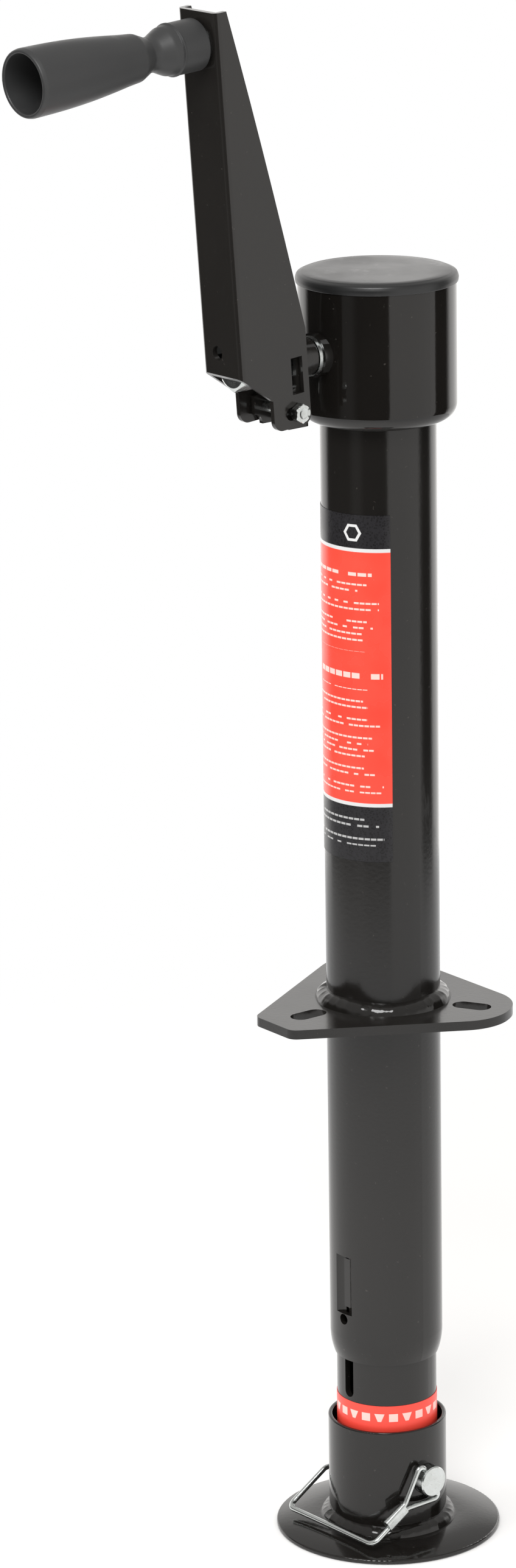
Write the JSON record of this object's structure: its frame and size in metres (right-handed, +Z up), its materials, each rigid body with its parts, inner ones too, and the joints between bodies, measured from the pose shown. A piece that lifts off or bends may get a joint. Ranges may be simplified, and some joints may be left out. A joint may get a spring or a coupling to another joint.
{
  "type": "trailer tongue jack stand",
  "caption": "Sidewind trailer jack: telescoping tube with a geared folding crank, a triangular bolt-on plate and a pinned round foot with a wire bail.",
  "frame": {"origin": "centre of the foot's underside, on the tube axis", "axes": "+Z up the tube, crank shaft towards -Y, head of the foot's lock pin towards +X"},
  "size_m": [0.1244, 0.2712, 0.7925],
  "materials": {
    "black_paint": "gloss black powder coat",
    "zinc": "bright zinc plate",
    "gear_steel": "oiled steel",
    "brass": "machined",
    "cap_plastic": "matte moulded",
    "grip_plastic": "satin moulded",
    "label_film": "printed film, red panel between black bands",
    "band_film": "printed red film"
  },
  "bodies": {
    "frame": {"outer_tube": "black_paint", "gear_housing": "black_paint", "housing_cap": "cap_plastic", "bearing_seat": "gear_steel", "upper_race": "gear_steel", "front_bush": "zinc", "rear_bush": "zinc", "mount_plate": "black_paint", "plate_weld": "black_paint", "side_label": "label_film"},
    "crank": {"crank_shaft": "zinc", "retaining_ring": "zinc", "pinion_pin": "gear_steel", "yoke_sleeve": "black_paint", "yoke_bracket": "black_paint", "pivot_bolt": "zinc", "pivot_nut": "zinc", "drive_pinion": "gear_steel"},
    "handle": {"crank_arm": "black_paint", "grip_spindle": "zinc", "grip_spacer": "zinc", "grip_retainer": "zinc"},
    "grip": {"grip": "grip_plastic"},
    "screw": {"lead_screw": "gear_steel", "driven_gear": "gear_steel", "gear_washer": "gear_steel", "gear_pin": "gear_steel", "collar_pin": "gear_steel", "screw_collar": "gear_steel", "lower_race": "gear_steel", "bearing_balls": "gear_steel", "ball_cage": "brass"},
    "ram": {"inner_tube": "black_paint", "foot_plate": "black_paint", "foot_socket": "black_paint", "foot_weld": "black_paint", "lead_nut": "brass", "limit_band": "band_film"},
    "pin": {"lock_pin": "zinc"},
    "bail": {"bail_wire": "zinc", "bail_ferrule": "zinc"}
  },
  "joints": [
    {"name": "crank_turn", "type": "hinge", "parent": "frame", "child": "crank", "pos_m": [0, 0, 0.618], "axis": [0, 1, 0], "range_deg": [-2520, 50400]},
    {"name": "screw_spin", "type": "hinge", "parent": "frame", "child": "screw", "pos_m": [0, 0, 0.3], "axis": [0, 0, 1], "range_deg": [-25200, 1260]},
    {"name": "ram_slide", "type": "slide", "parent": "frame", "child": "ram", "axis": [0, 0, -1], "range_m": [-0.0178, 0.3557]},
    {"name": "handle_fold", "type": "hinge", "parent": "crank", "child": "handle", "pos_m": [0, -0.063, 0.5955], "axis": [1, 0, 0], "range_deg": [0, 110]},
    {"name": "grip_spin", "type": "hinge", "parent": "handle", "child": "grip", "pos_m": [0, -0.07583, 0.77895], "axis": [0, -0.9976, -0.0698], "continuous": true},
    {"name": "pin_turn", "type": "hinge", "parent": "ram", "child": "pin", "pos_m": [0, 0, 0.0325], "axis": [-1, 0, 0], "range_deg": [0, 80]},
    {"name": "bail_swing", "type": "hinge", "parent": "pin", "child": "bail", "pos_m": [0.0333, 0, 0.0325], "axis": [0, -0.509, 0.8607], "range_deg": [0, 110]}
  ],
  "couplings": [
    {"joint": "screw_spin", "follows": "crank_turn", "ratio": -0.5},
    {"joint": "ram_slide", "follows": "crank_turn", "m_per_rad": 0.00040425},
    {"joint": "pin_turn", "follows": "bail_swing", "ratio": 0.7}
  ]
}
